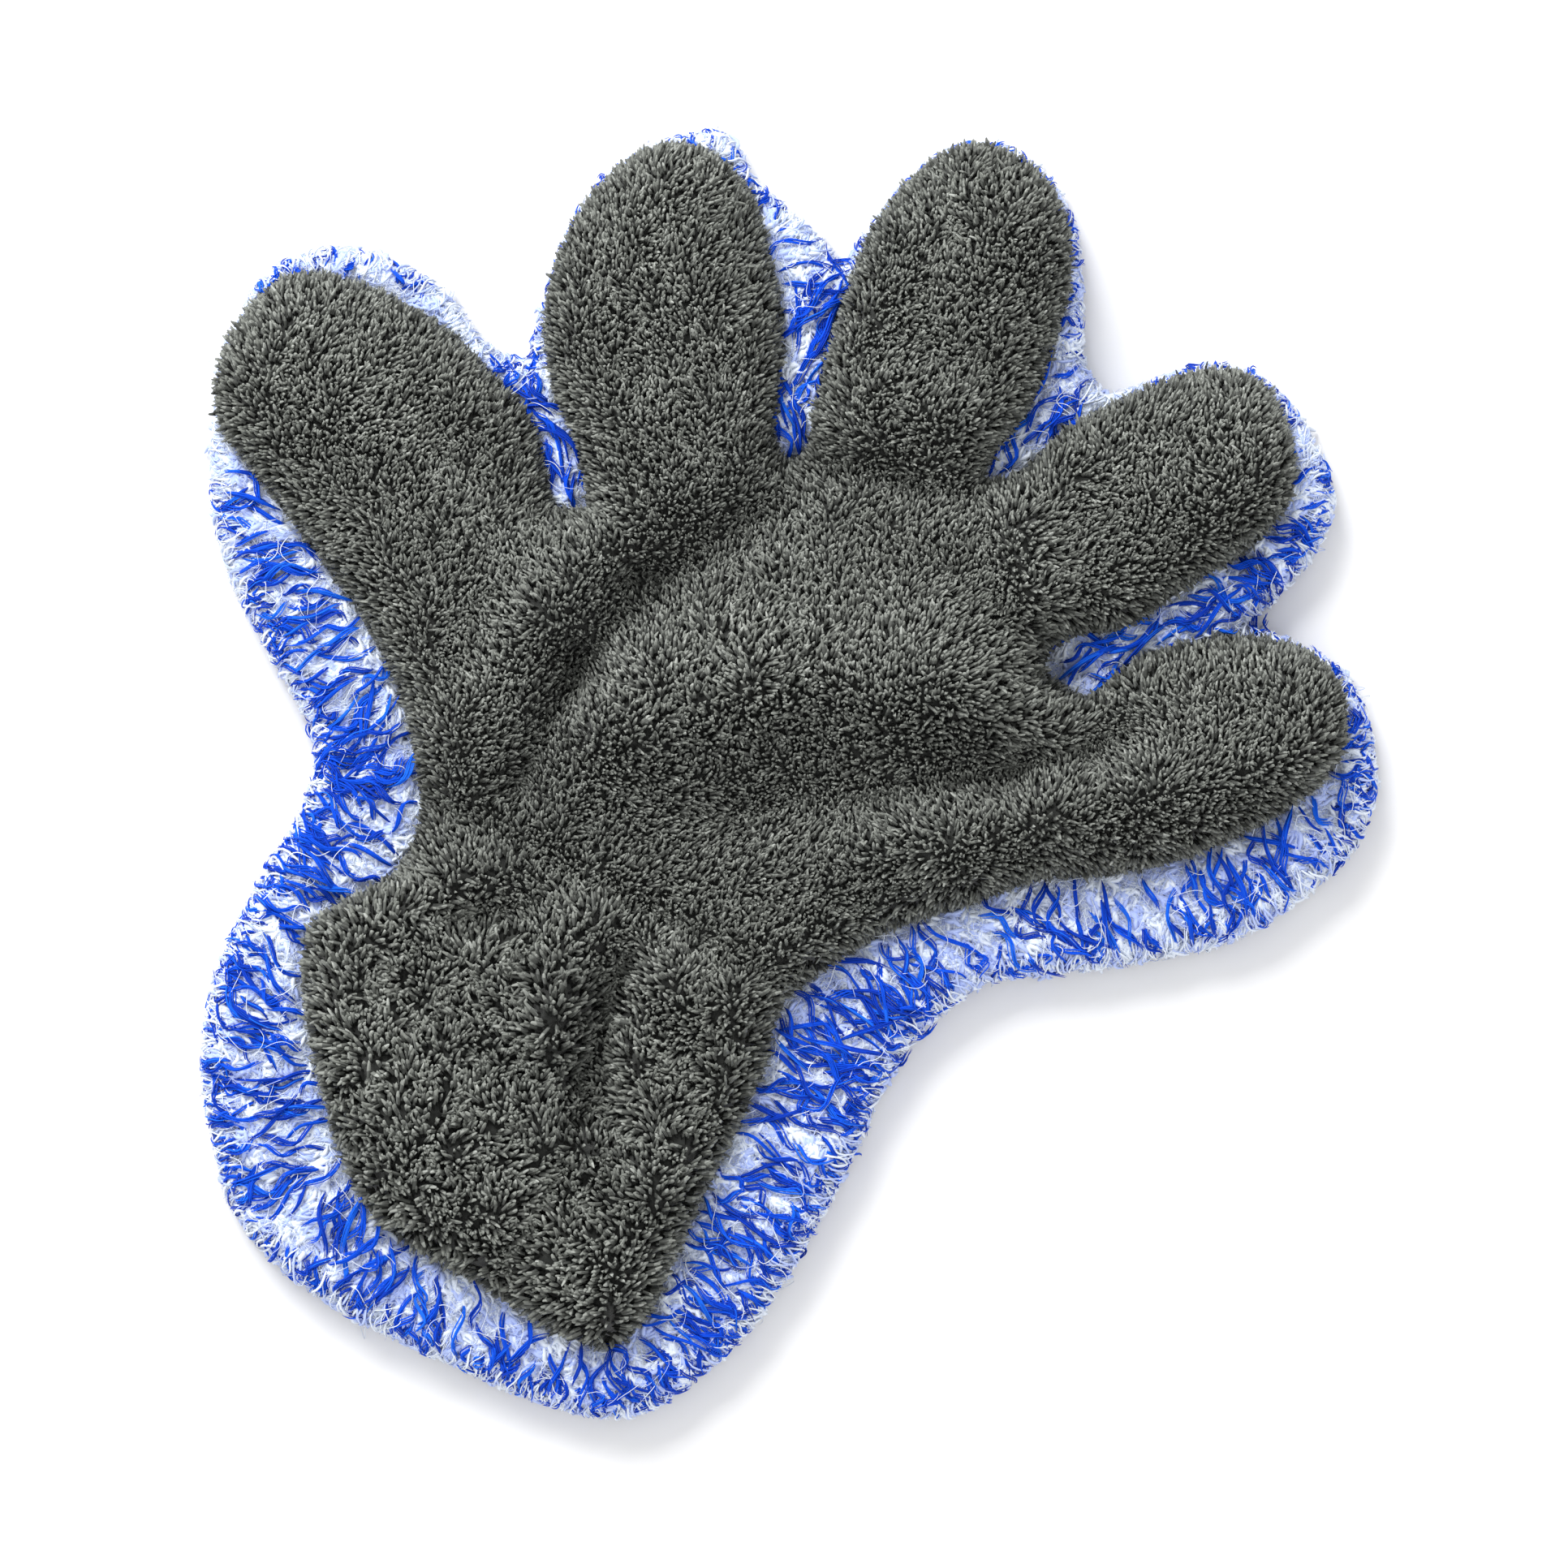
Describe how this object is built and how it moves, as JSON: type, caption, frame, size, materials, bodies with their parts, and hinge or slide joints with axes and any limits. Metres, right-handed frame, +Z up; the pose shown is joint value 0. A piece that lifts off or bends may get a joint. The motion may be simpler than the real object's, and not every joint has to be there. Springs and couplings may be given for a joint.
{
  "type": "grooming glove",
  "caption": "Five-finger fabric grooming glove with a short plush face, a long shag face, a side seam, a wrist elastic and an open cuff.",
  "frame": {"origin": "centre of the bounding box's bottom face, on the surface that the glove lies on", "axes": "+Y along the hand from the cuff to the fingertips, +X towards the little finger, +Z up out of the grey plush face"},
  "size_m": [0.2774, 0.2999, 0.035],
  "materials": {
    "grey_plush": "short combed microfibre plush",
    "blue_white_shag": "long loose microfibre strands, blue and white",
    "seam_thread": "overlocked thread and seam allowance",
    "band_cloth": "woven tape"
  },
  "bodies": {
    "hand": {"hand_plush": "grey_plush", "hand_seam_index_notch": "seam_thread", "hand_seam_little_side": "seam_thread", "hand_seam_middle_notch": "seam_thread", "hand_seam_ring_notch": "seam_thread", "hand_seam_thumb_notch": "seam_thread", "hand_seam_thumb_side": "seam_thread", "hand_shag": "blue_white_shag", "wrist_elastic": "band_cloth"},
    "cuff": {"cuff_binding": "band_cloth", "cuff_plush": "grey_plush", "cuff_seam_little_side": "seam_thread", "cuff_seam_thumb_side": "seam_thread", "cuff_shag": "blue_white_shag"},
    "thumb_base": {"thumb_base_plush": "grey_plush", "thumb_base_seam_little_side": "seam_thread", "thumb_base_seam_thumb_side": "seam_thread", "thumb_base_shag": "blue_white_shag"},
    "thumb_tip": {"thumb_tip_plush": "grey_plush", "thumb_tip_seam": "seam_thread", "thumb_tip_shag": "blue_white_shag"},
    "index_base": {"index_base_plush": "grey_plush", "index_base_seam_little_side": "seam_thread", "index_base_seam_thumb_side": "seam_thread", "index_base_shag": "blue_white_shag"},
    "index_tip": {"index_tip_plush": "grey_plush", "index_tip_seam": "seam_thread", "index_tip_shag": "blue_white_shag"},
    "middle_base": {"middle_base_plush": "grey_plush", "middle_base_seam_little_side": "seam_thread", "middle_base_seam_thumb_side": "seam_thread", "middle_base_shag": "blue_white_shag"},
    "middle_tip": {"middle_tip_plush": "grey_plush", "middle_tip_seam": "seam_thread", "middle_tip_shag": "blue_white_shag"},
    "ring_base": {"ring_base_plush": "grey_plush", "ring_base_seam_little_side": "seam_thread", "ring_base_seam_thumb_side": "seam_thread", "ring_base_shag": "blue_white_shag"},
    "ring_tip": {"ring_tip_plush": "grey_plush", "ring_tip_seam": "seam_thread", "ring_tip_shag": "blue_white_shag"},
    "little_base": {"little_base_plush": "grey_plush", "little_base_seam_little_side": "seam_thread", "little_base_seam_thumb_side": "seam_thread", "little_base_shag": "blue_white_shag"},
    "little_tip": {"little_tip_plush": "grey_plush", "little_tip_seam": "seam_thread", "little_tip_shag": "blue_white_shag"}
  },
  "joints": [
    {"name": "cuff_fold", "type": "hinge", "parent": "hand", "child": "cuff", "pos_m": [-0.008, -0.058, 0.017], "axis": [-1, 0, 0], "range_deg": [0, 50]},
    {"name": "thumb_knuckle", "type": "hinge", "parent": "hand", "child": "thumb_base", "pos_m": [-0.07724, 0.02108, 0.017], "axis": [0.3162, 0.9487, 0], "range_deg": [0, 60]},
    {"name": "thumb_bend", "type": "hinge", "parent": "thumb_base", "child": "thumb_tip", "pos_m": [-0.10806, 0.03135, 0.017], "axis": [0.3162, 0.9487, 0], "range_deg": [0, 60]},
    {"name": "index_knuckle", "type": "hinge", "parent": "hand", "child": "index_base", "pos_m": [-0.04235, 0.06695, 0.017], "axis": [0.9509, 0.3094, 0], "range_deg": [0, 60]},
    {"name": "index_bend", "type": "hinge", "parent": "index_base", "child": "index_tip", "pos_m": [-0.05118, 0.0941, 0.017], "axis": [0.9509, 0.3094, 0], "range_deg": [0, 60]},
    {"name": "middle_knuckle", "type": "hinge", "parent": "hand", "child": "middle_base", "pos_m": [0.00715, 0.08549, 0.017], "axis": [0.9976, 0.0696, 0], "range_deg": [0, 60]},
    {"name": "middle_bend", "type": "hinge", "parent": "middle_base", "child": "middle_tip", "pos_m": [0.00492, 0.11744, 0.017], "axis": [0.9976, 0.0696, 0], "range_deg": [0, 60]},
    {"name": "ring_knuckle", "type": "hinge", "parent": "hand", "child": "ring_base", "pos_m": [0.05267, 0.07623, 0.017], "axis": [0.8455, -0.534, 0], "range_deg": [0, 60]},
    {"name": "ring_bend", "type": "hinge", "parent": "ring_base", "child": "ring_tip", "pos_m": [0.06694, 0.09882, 0.017], "axis": [0.8455, -0.534, 0], "range_deg": [0, 60]},
    {"name": "little_knuckle", "type": "hinge", "parent": "hand", "child": "little_base", "pos_m": [0.08523, 0.03416, 0.017], "axis": [0.5322, -0.8466, 0], "range_deg": [0, 60]},
    {"name": "little_bend", "type": "hinge", "parent": "little_base", "child": "little_tip", "pos_m": [0.10584, 0.04711, 0.017], "axis": [0.5322, -0.8466, 0], "range_deg": [0, 60]}
  ]
}
